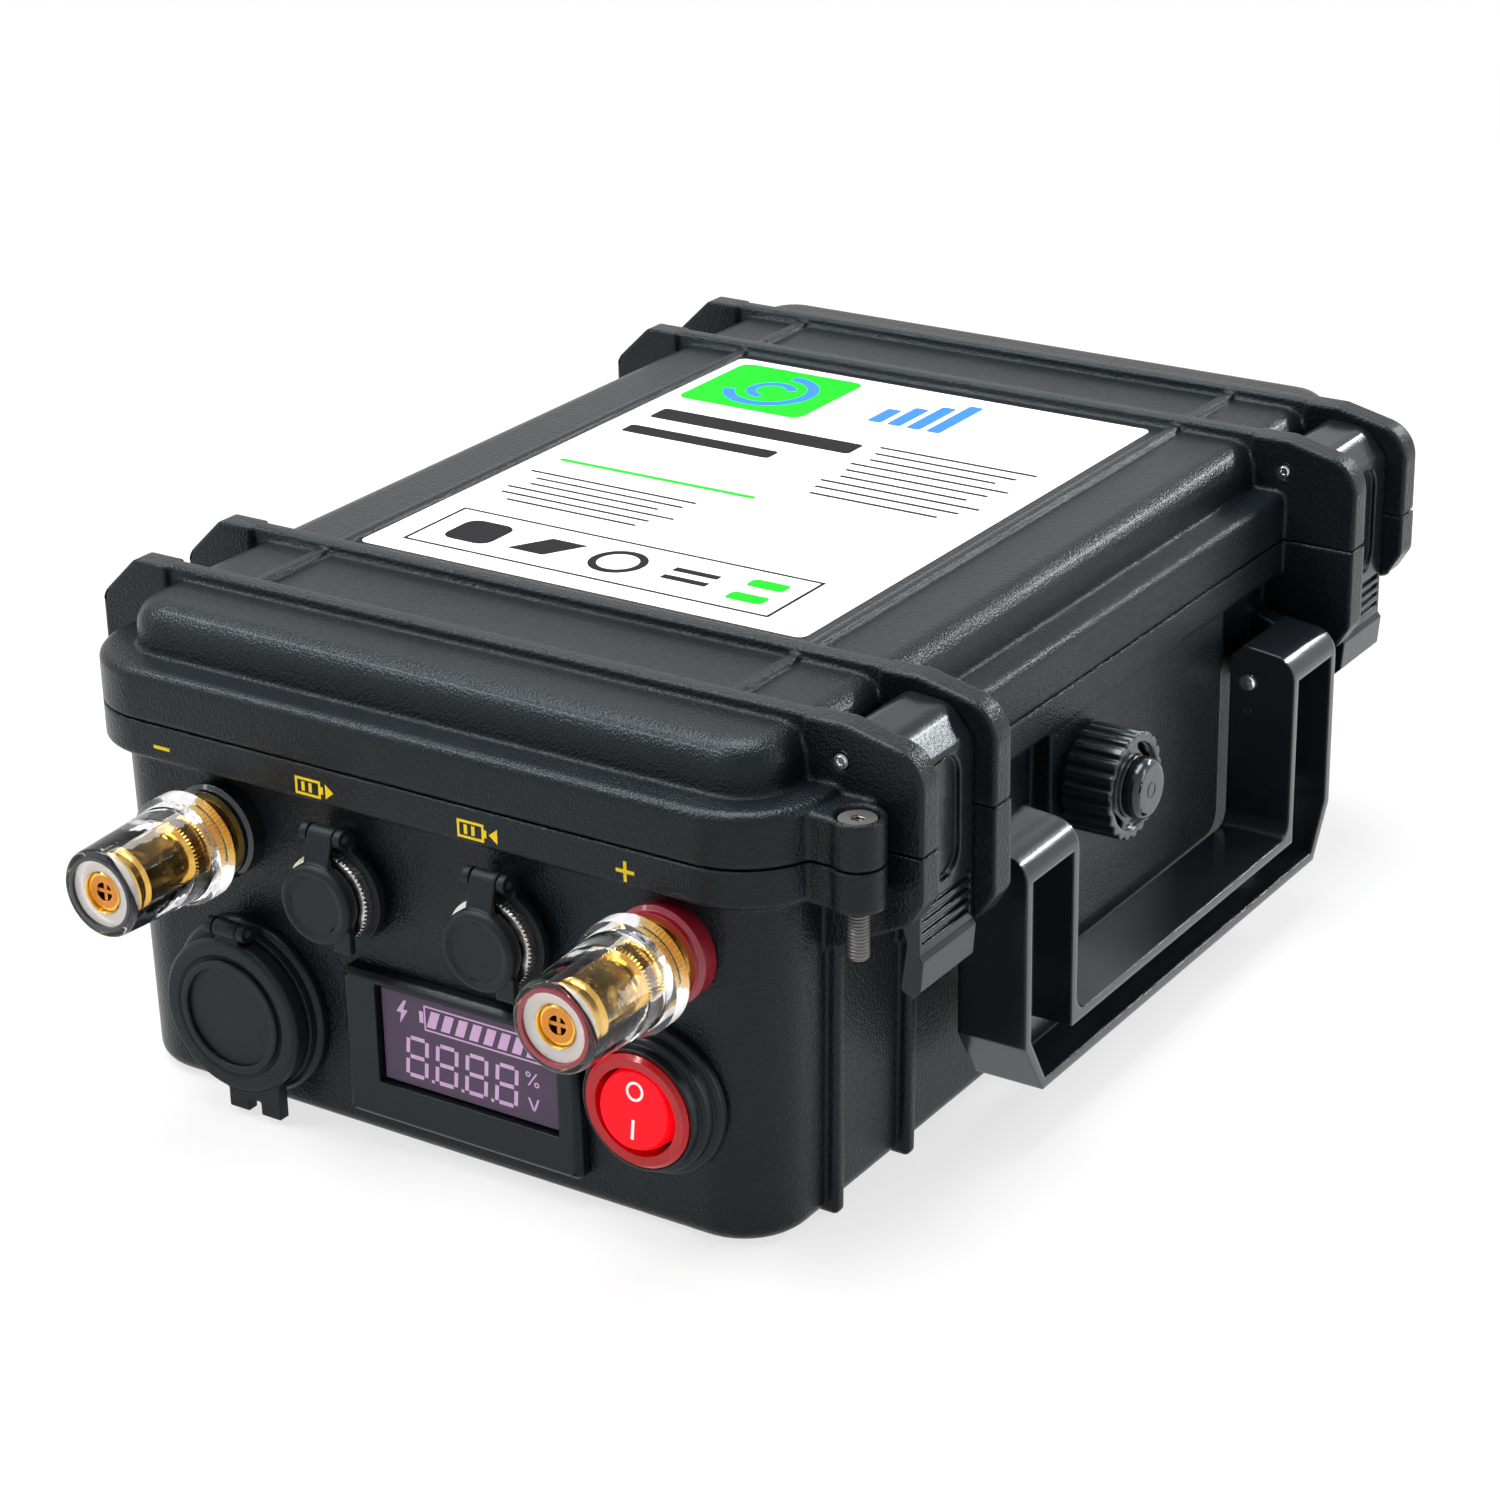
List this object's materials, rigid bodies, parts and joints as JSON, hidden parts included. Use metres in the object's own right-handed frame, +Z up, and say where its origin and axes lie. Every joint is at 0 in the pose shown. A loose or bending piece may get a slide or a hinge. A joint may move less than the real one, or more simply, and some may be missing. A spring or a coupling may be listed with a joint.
{
  "type": "deep cycle battery",
  "caption": "Portable deep cycle battery in a hinged, latched carry case, with a folding handle and a terminal panel of binding posts, capped sockets, a level meter and a rocker.",
  "frame": {"origin": "middle of the footprint of the case, on the floor", "axes": "+Z up, -Y out of the terminal panel, +X out of the side with the latches and the handle, -X out of the hinge side"},
  "size_m": [0.1994, 0.3018, 0.1057],
  "materials": {
    "case_black": "moulded, leather grain",
    "latch_black": "semi-gloss",
    "handle_black": "fine grain",
    "rubber_black": "matt",
    "device_black": "satin",
    "collar_black": "gloss",
    "collar_red": "gloss",
    "gold": "plated, polished",
    "clear_sleeve": "clear",
    "chrome": "polished",
    "pin_steel": "turned",
    "contact_brass": "turned",
    "insulator": "matt",
    "meter_glass": "clear over a dark panel",
    "switch_red": "translucent",
    "rocker_red": "gloss",
    "cell_wrap": "sleeved",
    "holder_black": "matt",
    "nickel": "plated strip",
    "foam": "closed-cell foam",
    "board_green": "solder mask",
    "heat_plate": "bare",
    "label_paper": "printed sheet",
    "panel_ink": "printed",
    "switch_ink": "printed",
    "lead_black": "insulation"
  },
  "bodies": {
    "base": {"base_shell": "case_black", "hinge_pins": "pin_steel", "handle_pins": "pin_steel", "valve_body": "device_black", "valve_nut": "device_black", "valve_cap": "device_black", "negative_collar": "collar_black", "positive_collar": "collar_red", "negative_stud": "gold", "positive_stud": "gold", "post_bushes": "insulator", "post_nuts": "contact_brass", "post_lugs": "contact_brass", "round_sockets": "chrome", "round_inserts": "insulator", "round_nuts": "pin_steel", "round_retainers": "rubber_black", "lighter_housing": "device_black", "lighter_liner": "pin_steel", "lighter_contact": "contact_brass", "lighter_nut": "device_black", "lighter_retainer": "rubber_black", "cap_pins": "pin_steel", "meter_bezel": "device_black", "meter_window": "meter_glass", "meter_housing": "device_black", "switch_bezel": "rubber_black", "switch_cover": "switch_red", "switch_body": "device_black", "switch_tabs": "contact_brass", "floor_foam": "foam", "cells": "cell_wrap", "cell_holders": "holder_black", "bus_strips": "nickel", "protection_board": "board_green", "heat_spreader": "heat_plate", "main_leads": "lead_black", "signal_leads": "lead_black"},
    "lid": {"lid_shell": "case_black", "lid_gasket": "rubber_black", "lid_foam_pad": "foam", "latch_pins": "pin_steel", "padlock_bolts": "pin_steel"},
    "front_latch": {"latch_front": "latch_black"},
    "rear_latch": {"latch_rear": "latch_black"},
    "handle": {"carry_handle": "handle_black"},
    "valve_knob_body": {"valve_knob": "device_black"},
    "negative_clamp": {"negative_clamp_washer": "gold"},
    "positive_clamp": {"positive_clamp_washer": "gold"},
    "negative_knob": {"negative_knob_core": "gold", "negative_knob_sleeve": "clear_sleeve", "negative_tip_ring": "collar_black"},
    "positive_knob": {"positive_knob_core": "gold", "positive_knob_sleeve": "clear_sleeve", "positive_tip_ring": "collar_red"},
    "charge_cap_body": {"charge_cap": "rubber_black"},
    "output_cap_body": {"output_cap": "rubber_black"},
    "lighter_cap_body": {"lighter_cap": "rubber_black"},
    "rocker": {"rocker_button": "rocker_red"}
  },
  "joints": [
    {"name": "lid_hinge", "type": "hinge", "parent": "base", "child": "lid", "pos_m": [-0.0915, 0, 0.082], "axis": [0, -1, 0], "range_deg": [0, 105]},
    {"name": "front_latch_pivot", "type": "hinge", "parent": "lid", "child": "front_latch", "pos_m": [0.086, -0.094, 0.0983], "axis": [0, -1, 0], "range_deg": [0, 100]},
    {"name": "rear_latch_pivot", "type": "hinge", "parent": "lid", "child": "rear_latch", "pos_m": [0.086, 0.094, 0.0983], "axis": [0, -1, 0], "range_deg": [0, 100]},
    {"name": "handle_pivot", "type": "hinge", "parent": "base", "child": "handle", "pos_m": [0.0924, 0, 0.0585], "axis": [0, -1, 0], "range_deg": [0, 95]},
    {"name": "valve_knob_turn", "type": "hinge", "parent": "base", "child": "valve_knob_body", "pos_m": [0.093, -0.016, 0.06], "axis": [1, 0, 0], "range_deg": [0, 360]},
    {"name": "rocker_tilt", "type": "hinge", "parent": "base", "child": "rocker", "pos_m": [0.056, -0.1344, 0.029], "axis": [1, 0, 0], "range_deg": [0, 16]},
    {"name": "charge_cap_hinge", "type": "hinge", "parent": "base", "child": "charge_cap_body", "pos_m": [-0.0185, -0.1353, 0.0686], "axis": [-1, 0, 0], "range_deg": [0, 110]},
    {"name": "output_cap_hinge", "type": "hinge", "parent": "base", "child": "output_cap_body", "pos_m": [0.0215, -0.1353, 0.0686], "axis": [-1, 0, 0], "range_deg": [0, 110]},
    {"name": "lighter_cap_hinge", "type": "hinge", "parent": "base", "child": "lighter_cap_body", "pos_m": [-0.045, -0.1362, 0.0417], "axis": [-1, 0, 0], "range_deg": [0, 95]},
    {"name": "negative_clamp_slide", "type": "slide", "parent": "base", "child": "negative_clamp", "axis": [0, -1, 0], "range_m": [0, 0.005]},
    {"name": "negative_knob_turn", "type": "hinge", "parent": "negative_clamp", "child": "negative_knob", "pos_m": [-0.049, -0.155, 0.0615], "axis": [0, -1, 0], "range_deg": [0, 1440]},
    {"name": "positive_clamp_slide", "type": "slide", "parent": "base", "child": "positive_clamp", "axis": [0, -1, 0], "range_m": [0, 0.005]},
    {"name": "positive_knob_turn", "type": "hinge", "parent": "positive_clamp", "child": "positive_knob", "pos_m": [0.06, -0.155, 0.0615], "axis": [0, -1, 0], "range_deg": [0, 1440]}
  ],
  "couplings": [
    {"joint": "negative_knob_turn", "follows": "negative_clamp_slide", "rad_per_m": 5026.5},
    {"joint": "positive_knob_turn", "follows": "positive_clamp_slide", "rad_per_m": 5026.5}
  ]
}
